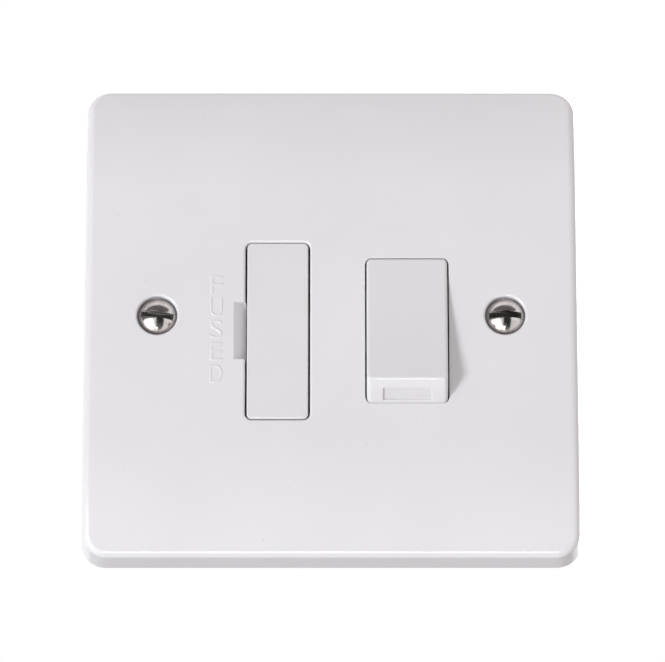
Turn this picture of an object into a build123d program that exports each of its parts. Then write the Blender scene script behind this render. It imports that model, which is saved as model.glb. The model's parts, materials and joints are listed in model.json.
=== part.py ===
from build123d import *
import os
from math import cos, radians, sin, sqrt

os.makedirs("parts", exist_ok=True)

# Millimetres: y = 0 is the wall, the face looks along -Y, and z = 0 is the line of the fixing screws

# Front plate, a hollow moulding whose face curves back towards its top and bottom edges
PLATE_SIDE = 85.5
PLATE_CORNER = 4.2
FACE_DEPTH = 10.0
EDGE_DEPTH = 6.8
CROWN_START = 23.0
EDGE_ROUND = 1.4
SKIN = 2.6
RIM_WALL = 2.2
RIM_CORNER = 2.0
LEVEL = -2.85

# Fixing screws and the holes that take them
SCREW_PITCH = 60.3
HEAD_RADIUS = 3.15
HEAD_CROWN = 1.4
HEAD_RIM = 0.25
HEAD_PLAY = 0.05
HEAD_DEPTH = 0.8
SLOT_WIDTH = 1.1
SLOT_DEPTH = 1.1
NECK_RADIUS = 1.55
THREAD_RADIUS = 1.75
THREAD_START = -0.5
SCREW_END = 18.0
SCREW_POINT = 0.6
LEFT_SLOT_TURN = 7.0
RECESS_RADIUS = 3.5
RECESS_DEPTH = 1.85
RECESS_ROUND = 0.45
SHANK_HOLE = 2.0
SINK_ANGLE = 90.0
BOSS_RADIUS = 4.75
BOSS_END = -0.8
RIB_WIDTH = 1.2
RIB_END = -2.4

# Fuse carrier, which slides out of the face
CARRIER_X = -9.27
CARRIER_WIDTH = 10.6
CARRIER_HEIGHT = 32.15
CARRIER_GAP = 0.32
CARRIER_END_GAP = 0.15
CARRIER_CORNER = 0.9
CARRIER_BLOCK = 4.2
CARRIER_EASE = 0.3
CARRIER_TRAVEL = 13.0
CHEEK_WIDTH = 9.4
CHEEK_THICK = 2.55
CATCH_WIDTH = 5.0
CATCH_HEIGHT = 1.5
CATCH_LENGTH = 1.0
CATCH_ROOM = 0.3
SADDLE_WALL = 1.2
SADDLE_HEIGHT = 10.0
SADDLE_REACH = 2.2
PRISE_DEPTH = 1.0
PRISE_HEIGHT = 9.0
PRISE_FRONT = 1.2
PRISE_TALL = 1.3
NOTCH_WIDTH = 2.0
NOTCH_HEIGHT = 10.45
NOTCH_DEPTH = 1.6

# Cartridge fuse
FUSE_LENGTH = 25.4
CAP_RADIUS = 3.15
CAP_LENGTH = 6.3
CAP_END = 0.6
TUBE_RADIUS = 2.9
FUSE_PLAY = 0.03

# Fuse clips
CLIP_CENTRE = 9.5
CLIP_WIDTH = 4.4
CLIP_PLAY = 0.15
CLIP_THICK = 0.6
CLIP_BASE = 2.4
CLIP_BEND = 0.9
CLIP_TIP = -5.0
CLIP_FLARE = 0.5
CLIP_FLARE_LENGTH = 1.5

# Rocker, drawn in its off position with its lower end standing out
ROCKER_X = 13.14
ROCKER_WIDTH = 14.0
ROCKER_GAP = 0.26
ROCKER_END_GAP = 0.1
APERTURE_ROUND = 0.1
ROCKER_TILT = 8.4
PIVOT_BEHIND_FACE = 8.5
END_RADIUS = 15.6
FACE_REACH = 10.5
FACE_DISH = 0.25
SKIRT_ANGLE = 15.0
ROCKER_WALL = 1.6
ROCKER_SIDE = 1.4
ROCKER_CORNER = 0.8
FACE_ROUND = 0.55
TRUNNION_RADIUS = 1.5
TRUNNION_PLAY = 0.08
ROCKER_EAR = 4.0
BEARING_THICK = 2.2
BEARING_RADIUS = 4.2
LIP_PANEL_WIDTH = 8.4
LIP_PANEL_DEPTH = 0.4
LIP_PANEL_FROM = 26.0
LIP_PANEL_TO = 34.8
DOWNWARD = 270.0

# Plungers and their springs, in bores of the rocker
POLE_OFFSET = 3.3
PLUNGER_RADIUS = 1.75
PLUNGER_TAIL = 3.2
BORE_PLAY = 0.1
BORE_FLOOR = 8.0
TOWER_HEIGHT = 6.4
TOWER_END = 0.6
SPRING_WIRE = 0.4
SPRING_RADIUS = 1.35
SPRING_TURNS = 4
SPRING_SIDES = 6

# Switch contacts
SEESAW_TILT = 9.5
SEESAW_THICK = 0.8
SEESAW_WIDTH = 4.4
SEESAW_UP = 10.4
SEESAW_DOWN = 7.0
FULCRUM_Y = 4.5
FULCRUM_PLAY = 0.05
FULCRUM_ROUND = 0.4
PLUNGER_PLAY = 0.12
TIP_ARM = 9.0
TIP_RADIUS = 1.3
TIP_THICK = 0.7

# Contact strips lie on one floor of the housing
STRIP = 0.8
STRIP_FLOOR = 8.5
STRIP_WIDTH = 4.4
STRIP_PLAY = 0.3

# Terminals
BLOCK_WIDTH = 7.0
BLOCK_DEPTH = 9.0
BLOCK_LENGTH = 8.7
BLOCK_EASE = 0.4
BLOCK_SETBACK = 1.1
WIRE_RADIUS = 2.05
WIRE_Y = 12.2
CLAMP_RADIUS = 1.7
CLAMP_PLAY = 0.05
CLAMP_TIP = 14.45
CLAMP_HEAD_RADIUS = 2.8
CLAMP_HEAD_FRONT = 18.3
CLAMP_HEAD = 1.8
EARTH_X = -19.6
SUPPLY_LIVE_X = 7.5
SUPPLY_NEUTRAL_X = 18.5

# Rear housing
HOUSING_WIDTH = 50.0
HOUSING_HEIGHT = 57.7
HOUSING_CORNER = 3.0
HOUSING_ROUND = 1.0
HOUSING_FRONT = -6.4
HOUSING_REAR = 20.5
POCKET_PLAY = 0.1
CHANNEL_WIDTH = 5.0
CHANNEL_WALL = 0.9
REAR_SLOT = 6.2
SWITCH_ROOM = 9.8
SWITCH_ROOM_HEIGHT = 32.6
WELL_WIDTH = 12.3
WELL_HEIGHT = 34.8
WELL_END_FLOOR = 7.5
WELL_STEP = 12.4
LINK_WIDTH = 4.0
LINK_PLAY = 0.25
CORE_WIDTH = 13.0
CORE_HEIGHT = 11.6
CORE_WALL = 2.0
CORE_CORNER = 1.5
CORE_RIB = 1.8

# Assembly screws hold the housing to two pillars of the plate
PILLAR_RADIUS = 3.25
PILLAR_PLAY = 0.25
PILLAR_END = 6.0
PILOT_RADIUS = 1.55
PILOT_DEPTH = 9.0
ASSEMBLY_RADIUS = 1.5
ASSEMBLY_HOLE = 1.7
ASSEMBLY_HEAD_RADIUS = 2.7
ASSEMBLY_HEAD = 2.0
ASSEMBLY_LENGTH = 11.0
COUNTERBORE_RADIUS = 3.1
SEAT_Y = 9.0
UPPER_PILLAR_X = -4.0
UPPER_PILLAR_INSET = 5.0
LOWER_PILLAR_X = 3.5
LOWER_PILLAR_INSET = 5.5

# Worked-out values
HALF = PLATE_SIDE / 2
FACE_Y = -FACE_DEPTH
SKIN_Y = FACE_Y + SKIN
MID_SKIN_Y = FACE_Y + SKIN / 2
SEAT_RADIUS = HEAD_RADIUS + HEAD_PLAY + HEAD_DEPTH + HEAD_RIM - RECESS_DEPTH
TINY = 0.01
OVER = 1.0
PIVOT_Y = FACE_Y + PIVOT_BEHIND_FACE
APERTURE_RADIUS = END_RADIUS + ROCKER_END_GAP
APERTURE_WIDTH = ROCKER_WIDTH + 2 * ROCKER_GAP
LIP_HALF = sqrt(END_RADIUS**2 - FACE_REACH**2)
DISH_RADIUS = (LIP_HALF**2 + FACE_DISH**2) / (2 * FACE_DISH)
BLOCK_REAR_Y = FACE_Y + CARRIER_BLOCK
FUSE_Y = BLOCK_REAR_Y + CAP_RADIUS + FUSE_PLAY
CHEEK_INNER = FUSE_LENGTH / 2 + 5 * FUSE_PLAY
CHEEK_END_Y = SKIN_Y + CARRIER_TRAVEL + CATCH_ROOM + CATCH_LENGTH
BLOCK_REAR = STRIP_FLOOR + BLOCK_DEPTH
LIVE_X = ROCKER_X - POLE_OFFSET
NEUTRAL_X = ROCKER_X + POLE_OFFSET
SEESAW_FRONT_Y = FULCRUM_Y - SEESAW_THICK
PLUNGER_REACH = SEESAW_FRONT_Y - PLUNGER_PLAY - PIVOT_Y
STRIP_FRONT = STRIP_FLOOR - STRIP
TIP_Z = LEVEL + TIP_ARM
CLIP_REAR_Y = CLIP_BASE + CLIP_THICK
LINK_REAR_Y = CLIP_REAR_Y + STRIP
CHAMBER_LEFT = ROCKER_X - SWITCH_ROOM
CHAMBER_TOP = LEVEL + SWITCH_ROOM_HEIGHT / 2
CLIP_REACH = CLIP_WIDTH / 2
LINK_Z = LEVEL + CLIP_CENTRE
HALF_HEIGHT = HOUSING_HEIGHT / 2
BLOCK_END = HALF_HEIGHT - BLOCK_SETBACK
BLOCK_START = BLOCK_END - BLOCK_LENGTH
BLOCK_FROM_LEVEL = (BLOCK_START + BLOCK_END) / 2
SCREW_XS = (-SCREW_PITCH / 2, SCREW_PITCH / 2)
PILLARS = (
    (UPPER_PILLAR_X, LEVEL + HALF_HEIGHT - UPPER_PILLAR_INSET),
    (LOWER_PILLAR_X, LEVEL - HALF_HEIGHT + LOWER_PILLAR_INSET),
)
POLES = {"live": LIVE_X, "neutral": NEUTRAL_X}
TERMINALS = {
    "supply_earth": (EARTH_X, 1),
    "supply_live": (SUPPLY_LIVE_X, 1),
    "supply_neutral": (SUPPLY_NEUTRAL_X, 1),
    "load_earth": (EARTH_X, -1),
    "load_live": (CARRIER_X, -1),
    "load_neutral": (NEUTRAL_X, -1),
}


def save(piece, name):
    """Labels a finished piece and writes it."""
    piece.part.label = name
    export_step(piece.part, f"parts/{name}.step")


def facing(depth):
    """Plane that looks out of the face, at a depth behind the wall plane."""
    return Plane.XZ.offset(-depth)


def tilted(x, y, turn):
    """Side-view plane at a pivot on the working level, turned about the pivot."""
    return Plane(origin=(x, y, LEVEL), x_dir=(0, cos(radians(turn)), sin(radians(turn))), z_dir=(1, 0, 0))


def rearward(x, y, turn):
    """Plane through the same pivot that looks towards the rear, with x along the pivot."""
    return Plane(origin=(x, y, LEVEL), x_dir=(1, 0, 0), z_dir=(0, cos(radians(turn)), sin(radians(turn))))


def bar(x, z, width, height, front, rear, mode=Mode.ADD):
    """Rectangular bar between two depths."""
    with Locations((x, (front + rear) / 2, z)):
        Box(width, rear - front, height, mode=mode)


def rod(x, z, radius, front, rear, mode=Mode.ADD):
    """Round bar along the depth."""
    with Locations(Location((x, (front + rear) / 2, z), (90, 0, 0))):
        Cylinder(radius, rear - front, mode=mode)


def run(x, z_from, z_to, width, front, rear, mode=Mode.ADD):
    """Bar that runs up or down from one height to another."""
    bar(x, (z_from + z_to) / 2, width, abs(z_to - z_from), front, rear, mode)


def crowned_section(half, face, edge):
    """Side section of the plate: flat in the middle, curving back to its top and bottom edges."""
    with BuildSketch(Plane.YZ, mode=Mode.PRIVATE) as section:
        with BuildLine():
            Line((-face, -CROWN_START), (-face, CROWN_START))
            TangentArc((-face, CROWN_START), (-edge, half), tangent=(0, 1))
            TangentArc((-face, -CROWN_START), (-edge, -half), tangent=(0, -1))
            Polyline((-edge, half), (0, half), (0, -half), (-edge, -half))
        make_face()
    return section.sketch


def barrel(radius, width, corner, mode=Mode.ADD):
    """Round-cornered barrel about the rocker's pivot."""
    with BuildSketch(Plane.XY.offset(LEVEL), mode=Mode.PRIVATE) as half_section:
        with Locations((ROCKER_X, PIVOT_Y - radius / 2)):
            Rectangle(width, radius)
        fillet(half_section.vertices().group_by(Axis.Y)[0], corner)
    revolve(half_section.sketch, Axis((ROCKER_X, PIVOT_Y, LEVEL), (1, 0, 0)), mode=mode)


def on_end_wall(radius, angle):
    """Point of a circle about the rocker's pivot, by its angle from the rocker's middle plane."""
    return (-radius * sin(radians(angle)), -radius * cos(radians(angle)))


# Front plate
with BuildPart() as front_plate:
    extrude(crowned_section(HALF, FACE_DEPTH, EDGE_DEPTH), amount=HALF, both=True)
    fillet(front_plate.edges().filter_by(Axis.Y), PLATE_CORNER)
    front_edges = front_plate.edges().filter_by_position(Axis.Y, -FACE_DEPTH - TINY, -EDGE_DEPTH + TINY)
    across = front_plate.edges().filter_by(Axis.X)
    crown_lines = across.filter_by_position(Axis.Z, -CROWN_START - TINY, CROWN_START + TINY)
    fillet(front_edges - crown_lines, EDGE_ROUND)
    inside = HALF - RIM_WALL
    extrude(
        crowned_section(inside, FACE_DEPTH - SKIN, EDGE_DEPTH - SKIN),
        amount=inside,
        both=True,
        mode=Mode.SUBTRACT,
    )
    upright = front_plate.edges().filter_by(Axis.Y)
    right_corners = upright.filter_by_position(Axis.X, inside - TINY, inside + TINY)
    left_corners = upright.filter_by_position(Axis.X, -inside - TINY, -inside + TINY)
    fillet(right_corners + left_corners, RIM_CORNER)
    # bosses round the fixing screws, each with a rib to the rim
    for x in SCREW_XS:
        rod(x, 0, BOSS_RADIUS, MID_SKIN_Y, BOSS_END)
        outer = HALF - RIM_WALL / 2
        inner = abs(x) + (BOSS_RADIUS + SHANK_HOLE) / 2
        side = 1 if x > 0 else -1
        bar(side * (outer + inner) / 2, 0, outer - inner, RIB_WIDTH, MID_SKIN_Y, RIB_END)
    # pillars for the assembly screws
    for x, z in PILLARS:
        rod(x, z, PILLAR_RADIUS, MID_SKIN_Y, PILLAR_END)
        rod(x, z, PILOT_RADIUS, PILLAR_END - PILOT_DEPTH, PILLAR_END + OVER, Mode.SUBTRACT)
    # bearings for the rocker's trunnions
    for side in (-1, 1):
        bearing_middle = ROCKER_X + side * (APERTURE_WIDTH + BEARING_THICK) / 2
        with BuildSketch(Plane.YZ.offset(bearing_middle)):
            with Locations((PIVOT_Y, LEVEL)):
                Circle(BEARING_RADIUS)
            with Locations(((MID_SKIN_Y + PIVOT_Y) / 2, LEVEL)):
                Rectangle(PIVOT_Y - MID_SKIN_Y, 2 * BEARING_RADIUS)
            with Locations((PIVOT_Y, LEVEL)):
                Circle(TRUNNION_RADIUS + TRUNNION_PLAY, mode=Mode.SUBTRACT)
        extrude(amount=BEARING_THICK / 2, both=True)
    # opening for the fuse carrier
    with BuildSketch(facing(SKIN_Y + OVER)):
        with Locations((CARRIER_X, LEVEL)):
            RectangleRounded(
                CARRIER_WIDTH + 2 * CARRIER_GAP,
                CARRIER_HEIGHT + 2 * CARRIER_END_GAP,
                CARRIER_CORNER + CARRIER_GAP,
            )
    extrude(amount=SKIN + 2 * OVER, mode=Mode.SUBTRACT)
    # ramped notch for a screwdriver beside the carrier
    opening_left = CARRIER_X - CARRIER_WIDTH / 2 - CARRIER_GAP
    with BuildSketch(Plane.XY.offset(LEVEL)):
        with BuildLine():
            Polyline(
                (opening_left - NOTCH_WIDTH, FACE_Y),
                (opening_left - NOTCH_WIDTH, FACE_Y - OVER),
                (opening_left + TINY, FACE_Y - OVER),
                (opening_left + TINY, FACE_Y + NOTCH_DEPTH),
                close=True,
            )
        make_face()
    extrude(amount=NOTCH_HEIGHT / 2, both=True, mode=Mode.SUBTRACT)
    # opening for the rocker, with ends that follow the rocker's swing
    barrel(APERTURE_RADIUS, APERTURE_WIDTH, ROCKER_CORNER + ROCKER_GAP, Mode.SUBTRACT)
    face_lines = front_plate.edges().filter_by_position(Axis.Y, FACE_Y - TINY, FACE_Y + TINY)
    near_rocker = face_lines.filter_by_position(Axis.X, ROCKER_X - APERTURE_WIDTH, ROCKER_X + APERTURE_WIDTH)
    fillet(near_rocker.filter_by_position(Axis.Z, LEVEL - END_RADIUS, LEVEL + END_RADIUS), APERTURE_ROUND)
    # sunk holes for the fixing screws
    for x in SCREW_XS:
        with Locations(Plane(origin=(x, FACE_Y, 0), x_dir=(1, 0, 0), z_dir=(0, -1, 0))):
            CounterBoreHole(SHANK_HOLE, RECESS_RADIUS, RECESS_DEPTH, FACE_DEPTH)
        with Locations(Plane(origin=(x, FACE_Y + RECESS_DEPTH, 0), x_dir=(1, 0, 0), z_dir=(0, -1, 0))):
            CounterSinkHole(SHANK_HOLE, SEAT_RADIUS, FACE_DEPTH, SINK_ANGLE)
    round_edges = front_plate.edges().filter_by(GeomType.CIRCLE)
    recess_edges = round_edges.filter_by_position(Axis.Y, FACE_Y - TINY, FACE_Y + TINY)
    fillet(recess_edges, RECESS_ROUND)
save(front_plate, "front_plate")


# Fixing screws, slotted with raised heads, whose threaded ends reach behind the wall plane
with BuildPart() as fixing_screws:
    head_front = FACE_Y + HEAD_DEPTH
    cone_end = head_front + HEAD_RIM + HEAD_RADIUS - NECK_RADIUS
    dome_radius = (HEAD_RADIUS**2 + HEAD_CROWN**2) / (2 * HEAD_CROWN)
    for x in SCREW_XS:
        with BuildSketch(Plane.XY):
            with BuildLine():
                RadiusArc((x, head_front - HEAD_CROWN), (x + HEAD_RADIUS, head_front), -dome_radius)
                Polyline(
                    (x + HEAD_RADIUS, head_front),
                    (x + HEAD_RADIUS, head_front + HEAD_RIM),
                    (x + NECK_RADIUS, cone_end),
                    (x + NECK_RADIUS, THREAD_START),
                    (x + THREAD_RADIUS, THREAD_START),
                    (x + THREAD_RADIUS, SCREW_END - SCREW_POINT),
                    (x + THREAD_RADIUS - SCREW_POINT, SCREW_END),
                    (x, SCREW_END),
                    (x, head_front - HEAD_CROWN),
                )
            make_face()
        revolve(axis=Axis((x, 0, 0), (0, 1, 0)))
        turn = LEFT_SLOT_TURN if x < 0 else 0
        slot_end = head_front - HEAD_CROWN + SLOT_DEPTH
        with Locations(Location((x, slot_end - SLOT_DEPTH, 0), (0, turn, 0))):
            Box(2 * RECESS_RADIUS, 2 * SLOT_DEPTH, SLOT_WIDTH, mode=Mode.SUBTRACT)
save(fixing_screws, "fixing_screws")

# Fuse carrier: a block in the face, two cheeks that guide it and a saddle for the fuse
with BuildPart() as fuse_carrier:
    with BuildSketch(facing(BLOCK_REAR_Y)):
        with Locations((CARRIER_X, LEVEL)):
            RectangleRounded(CARRIER_WIDTH, CARRIER_HEIGHT, CARRIER_CORNER)
    extrude(amount=CARRIER_BLOCK)
    fillet(fuse_carrier.faces().sort_by(Axis.Y)[0].edges(), CARRIER_EASE)
    for side in (-1, 1):
        cheek_z = LEVEL + side * (CHEEK_INNER + CHEEK_THICK / 2)
        bar(CARRIER_X, cheek_z, CHEEK_WIDTH, CHEEK_THICK, BLOCK_REAR_Y, CHEEK_END_Y)
        catch_z = LEVEL + side * (CHEEK_INNER + CHEEK_THICK + CATCH_HEIGHT / 2)
        bar(CARRIER_X, catch_z, CATCH_WIDTH, CATCH_HEIGHT, CHEEK_END_Y - CATCH_LENGTH, CHEEK_END_Y)
        saddle_x = CARRIER_X + side * (TUBE_RADIUS + BORE_PLAY + SADDLE_WALL / 2)
        bar(saddle_x, LEVEL, SADDLE_WALL, SADDLE_HEIGHT, BLOCK_REAR_Y, FUSE_Y + SADDLE_REACH)
    prise_x = CARRIER_X - (CARRIER_WIDTH - PRISE_DEPTH) / 2
    bar(
        prise_x,
        LEVEL,
        PRISE_DEPTH + TINY,
        PRISE_HEIGHT,
        FACE_Y + PRISE_FRONT,
        FACE_Y + PRISE_FRONT + PRISE_TALL,
        Mode.SUBTRACT,
    )
save(fuse_carrier, "fuse_carrier")

# Cartridge fuse, upright in the carrier
with BuildPart() as fuse_tube:
    with Locations((CARRIER_X, FUSE_Y, LEVEL)):
        Cylinder(TUBE_RADIUS - FUSE_PLAY, FUSE_LENGTH - 2 * CAP_END - 2 * FUSE_PLAY)
save(fuse_tube, "fuse_tube")

for name, side in {"fuse_cap_upper": 1, "fuse_cap_lower": -1}.items():
    with BuildPart() as fuse_cap:
        cap_z = LEVEL + side * (FUSE_LENGTH - CAP_LENGTH) / 2
        with Locations((CARRIER_X, FUSE_Y, cap_z)):
            Cylinder(CAP_RADIUS, CAP_LENGTH)
        with Locations((CARRIER_X, FUSE_Y, cap_z - side * CAP_END)):
            Cylinder(TUBE_RADIUS, CAP_LENGTH, mode=Mode.SUBTRACT)
    save(fuse_cap, name)

# Fuse clips, bent from strip, open towards the face
for name, side in {"fuse_clip_upper": 1, "fuse_clip_lower": -1}.items():
    with BuildPart() as fuse_clip:
        jaw = CAP_RADIUS + CLIP_PLAY + CLIP_THICK / 2
        flare = jaw + CLIP_FLARE
        base_line = CLIP_BASE + CLIP_THICK / 2
        with BuildSketch(Plane.XY.offset(LEVEL + side * CLIP_CENTRE)):
            with BuildLine():
                FilletPolyline(
                    (CARRIER_X - flare, CLIP_TIP),
                    (CARRIER_X - jaw, CLIP_TIP + CLIP_FLARE_LENGTH),
                    (CARRIER_X - jaw, base_line),
                    (CARRIER_X + jaw, base_line),
                    (CARRIER_X + jaw, CLIP_TIP + CLIP_FLARE_LENGTH),
                    (CARRIER_X + flare, CLIP_TIP),
                    radius=CLIP_BEND,
                )
            trace(line_width=CLIP_THICK)
        extrude(amount=CLIP_WIDTH / 2, both=True)
    save(fuse_clip, name)


# Rocker: a dished face, end walls that swing about the pivot, trunnions and a tower with two bores
with BuildPart() as rocker:
    side_view = tilted(ROCKER_X, PIVOT_Y, -ROCKER_TILT)
    skirt = on_end_wall(END_RADIUS, SKIRT_ANGLE)
    barrel(END_RADIUS, ROCKER_WIDTH, ROCKER_CORNER)
    with BuildSketch(side_view):
        with Locations((FACE_DISH - FACE_REACH - DISH_RADIUS, 0)):
            Circle(DISH_RADIUS)
        with Locations((skirt[0] + END_RADIUS, 0)):
            Rectangle(2 * END_RADIUS, 2 * END_RADIUS + OVER)
    extrude(amount=ROCKER_WIDTH, both=True, mode=Mode.SUBTRACT)
    fillet(rocker.faces().sort_by(Axis.Y)[0].edges(), FACE_ROUND)
    # shallow panel in the lower end wall
    with BuildSketch(side_view):
        with BuildLine():
            for radius in (END_RADIUS + OVER, END_RADIUS - LIP_PANEL_DEPTH):
                CenterArc((0, 0), radius, DOWNWARD - LIP_PANEL_TO, LIP_PANEL_TO - LIP_PANEL_FROM)
            for angle in (LIP_PANEL_FROM, LIP_PANEL_TO):
                Line(on_end_wall(END_RADIUS + OVER, angle), on_end_wall(END_RADIUS - LIP_PANEL_DEPTH, angle))
        make_face()
    extrude(amount=LIP_PANEL_WIDTH / 2, both=True, mode=Mode.SUBTRACT)
    # hollow behind the face
    inner_radius = END_RADIUS - ROCKER_WALL
    inner_face = FACE_REACH - FACE_DISH - ROCKER_WALL
    with BuildSketch(side_view):
        Circle(inner_radius)
        with Locations((-inner_face - inner_radius, 0)):
            Rectangle(2 * inner_radius, 2 * inner_radius, mode=Mode.SUBTRACT)
    extrude(amount=ROCKER_WIDTH / 2 - ROCKER_SIDE, both=True, mode=Mode.SUBTRACT)
    # tower for the plungers
    with BuildSketch(side_view):
        with Locations((-(inner_face + TOWER_END) / 2, 0)):
            Rectangle(inner_face - TOWER_END + 2 * TINY, TOWER_HEIGHT)
    extrude(amount=ROCKER_WIDTH / 2 - ROCKER_SIDE + TINY, both=True)
    for x in POLES.values():
        with BuildSketch(rearward(x, PIVOT_Y, -ROCKER_TILT).offset(-BORE_FLOOR)):
            Circle(PLUNGER_RADIUS + BORE_PLAY)
        extrude(amount=BORE_FLOOR, mode=Mode.SUBTRACT)
    # cheeks down to the pivot, and the trunnions
    for side in (-1, 1):
        with BuildSketch(side_view.offset(side * (ROCKER_WIDTH - ROCKER_SIDE) / 2)):
            Circle(ROCKER_EAR)
            with Locations((skirt[0] / 2 - OVER / 2, 0)):
                Rectangle(-skirt[0] + OVER, 2 * ROCKER_EAR)
        extrude(amount=ROCKER_SIDE / 2, both=True)
        with BuildSketch(side_view.offset(side * ROCKER_WIDTH / 2)):
            Circle(TRUNNION_RADIUS)
        extrude(amount=side * (ROCKER_GAP + BEARING_THICK))
save(rocker, "rocker")

# Plungers and springs, one pair for each pole of the switch
for pole, x in POLES.items():
    with BuildPart() as plunger:
        with BuildSketch(rearward(x, PIVOT_Y, -ROCKER_TILT).offset(-PLUNGER_TAIL)):
            Circle(PLUNGER_RADIUS)
        extrude(amount=PLUNGER_TAIL + PLUNGER_REACH - PLUNGER_RADIUS)
        with Locations(rearward(x, PIVOT_Y, -ROCKER_TILT).offset(PLUNGER_REACH - PLUNGER_RADIUS)):
            Sphere(PLUNGER_RADIUS)
    save(plunger, f"plunger_{pole}")

    with BuildPart() as plunger_spring:
        spring_foot = rearward(x, PIVOT_Y, -ROCKER_TILT).offset(SPRING_WIRE / 2 - BORE_FLOOR)
        spring_length = BORE_FLOOR - PLUNGER_TAIL - SPRING_WIRE
        with BuildLine():
            coil = Helix(
                spring_length / SPRING_TURNS,
                spring_length,
                SPRING_RADIUS,
                center=spring_foot.origin,
                direction=spring_foot.z_dir,
            )
        with BuildSketch(Plane(origin=coil @ 0, z_dir=coil % 0)):
            RegularPolygon(SPRING_WIRE / 2, SPRING_SIDES)
        sweep()
    save(plunger_spring, f"plunger_spring_{pole}")

# Moving contacts, which see-saw on the fulcrums, each with a contact tip at its upper end
for pole, x in POLES.items():
    with BuildPart() as moving_contact:
        with BuildSketch(tilted(x, FULCRUM_Y, SEESAW_TILT)):
            with Locations((-SEESAW_THICK / 2, (SEESAW_UP - SEESAW_DOWN) / 2)):
                Rectangle(SEESAW_THICK, SEESAW_UP + SEESAW_DOWN)
        extrude(amount=SEESAW_WIDTH / 2, both=True)
        fillet(moving_contact.edges().filter_by(Axis.Y, tolerance=SEESAW_TILT + OVER), TIP_RADIUS)
    save(moving_contact, f"moving_contact_{pole}")

    with BuildPart() as moving_tip:
        with BuildSketch(rearward(x, FULCRUM_Y, SEESAW_TILT)):
            with Locations((0, -TIP_ARM)):
                Circle(TIP_RADIUS)
        extrude(amount=TIP_THICK)
    save(moving_tip, f"moving_tip_{pole}")

with BuildPart() as fixed_tips:
    for x in POLES.values():
        rod(x, TIP_Z, TIP_RADIUS, STRIP_FRONT - TIP_THICK, STRIP_FRONT)
save(fixed_tips, "fixed_tips")

# Supply strips, from the terminals to the fixed contact tips
for pole, x in POLES.items():
    with BuildPart() as supply_strip:
        terminal_x = TERMINALS[f"supply_{pole}"][0]
        run(x, TIP_Z - STRIP_WIDTH / 2, CHAMBER_TOP - STRIP_PLAY, STRIP_WIDTH, STRIP_FRONT, STRIP_FLOOR)
        turn_z = CHAMBER_TOP - STRIP_WIDTH / 2
        run(terminal_x, turn_z, LEVEL + BLOCK_END, STRIP_WIDTH, STRIP_FRONT, STRIP_FLOOR)
    save(supply_strip, f"supply_strip_{pole}")


def fulcrum(x):
    """Upright edge of a strip, on which a moving contact rocks."""
    edge_y = FULCRUM_Y + FULCRUM_PLAY + FULCRUM_ROUND
    bar(x, LEVEL, STRIP_WIDTH, 2 * FULCRUM_ROUND, edge_y, STRIP_FRONT)
    with Locations(Location((x, edge_y, LEVEL), (0, 90, 0))):
        Cylinder(FULCRUM_ROUND, STRIP_WIDTH)


# Fulcrum strips: the neutral one runs down to its load terminal, the live one up to the upper fuse clip
with BuildPart() as fulcrum_strip_neutral:
    run(NEUTRAL_X, LEVEL + STRIP_WIDTH / 2, LEVEL - BLOCK_END, STRIP_WIDTH, STRIP_FRONT, STRIP_FLOOR)
    fulcrum(NEUTRAL_X)
save(fulcrum_strip_neutral, "fulcrum_strip_neutral")

with BuildPart() as fulcrum_strip_live:
    riser_x = CHAMBER_LEFT + STRIP_PLAY
    foot_end = LIVE_X + STRIP_WIDTH / 2
    link_end = CARRIER_X - LINK_WIDTH / 2
    bar((riser_x + foot_end) / 2, LEVEL, foot_end - riser_x, STRIP_WIDTH, STRIP_FRONT, STRIP_FLOOR)
    fulcrum(LIVE_X)
    upright_width = LINK_WIDTH - STRIP
    run(
        riser_x + upright_width / 2,
        LEVEL - STRIP_WIDTH / 2,
        LINK_Z + LINK_WIDTH / 2,
        upright_width,
        STRIP_FRONT,
        STRIP_FLOOR,
    )
    bar(riser_x + STRIP / 2, LINK_Z, STRIP, LINK_WIDTH, CLIP_REAR_Y, STRIP_FLOOR)
    link_start = riser_x + STRIP
    link_middle = (link_start + link_end) / 2
    bar(link_middle, LINK_Z, link_start - link_end, LINK_WIDTH, CLIP_REAR_Y, LINK_REAR_Y)
save(fulcrum_strip_live, "fulcrum_strip_live")

# Load live strip, from under the lower fuse clip to its terminal
with BuildPart() as load_strip_live:
    drop_z = LEVEL - WELL_STEP + LINK_PLAY
    run(CARRIER_X, LEVEL - CLIP_CENTRE + CLIP_REACH, drop_z, STRIP_WIDTH, CLIP_REAR_Y, LINK_REAR_Y)
    run(CARRIER_X, drop_z, drop_z + STRIP, STRIP_WIDTH, CLIP_REAR_Y, STRIP_FLOOR)
    run(CARRIER_X, drop_z + STRIP, LEVEL - BLOCK_END, STRIP_WIDTH, STRIP_FRONT, STRIP_FLOOR)
save(load_strip_live, "load_strip_live")

with BuildPart() as earth_strap:
    run(EARTH_X, LEVEL + BLOCK_END, LEVEL - BLOCK_END, STRIP_WIDTH, STRIP_FRONT, STRIP_FLOOR)
save(earth_strap, "earth_strap")

# Terminal blocks, each with a wire hole that opens at the housing's edge and a cross hole for its screw
for name, (x, side) in TERMINALS.items():
    with BuildPart() as terminal:
        block_z = LEVEL + side * BLOCK_FROM_LEVEL
        bar(x, block_z, BLOCK_WIDTH, BLOCK_LENGTH, STRIP_FLOOR, BLOCK_REAR)
        fillet(terminal.edges().filter_by(Axis.Z), BLOCK_EASE)
        with Locations((x, WIRE_Y, block_z)):
            Cylinder(WIRE_RADIUS, BLOCK_LENGTH + OVER, mode=Mode.SUBTRACT)
        rod(x, block_z, CLAMP_RADIUS + CLAMP_PLAY, WIRE_Y, BLOCK_REAR + OVER, Mode.SUBTRACT)
    save(terminal, f"terminal_{name}")

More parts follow.
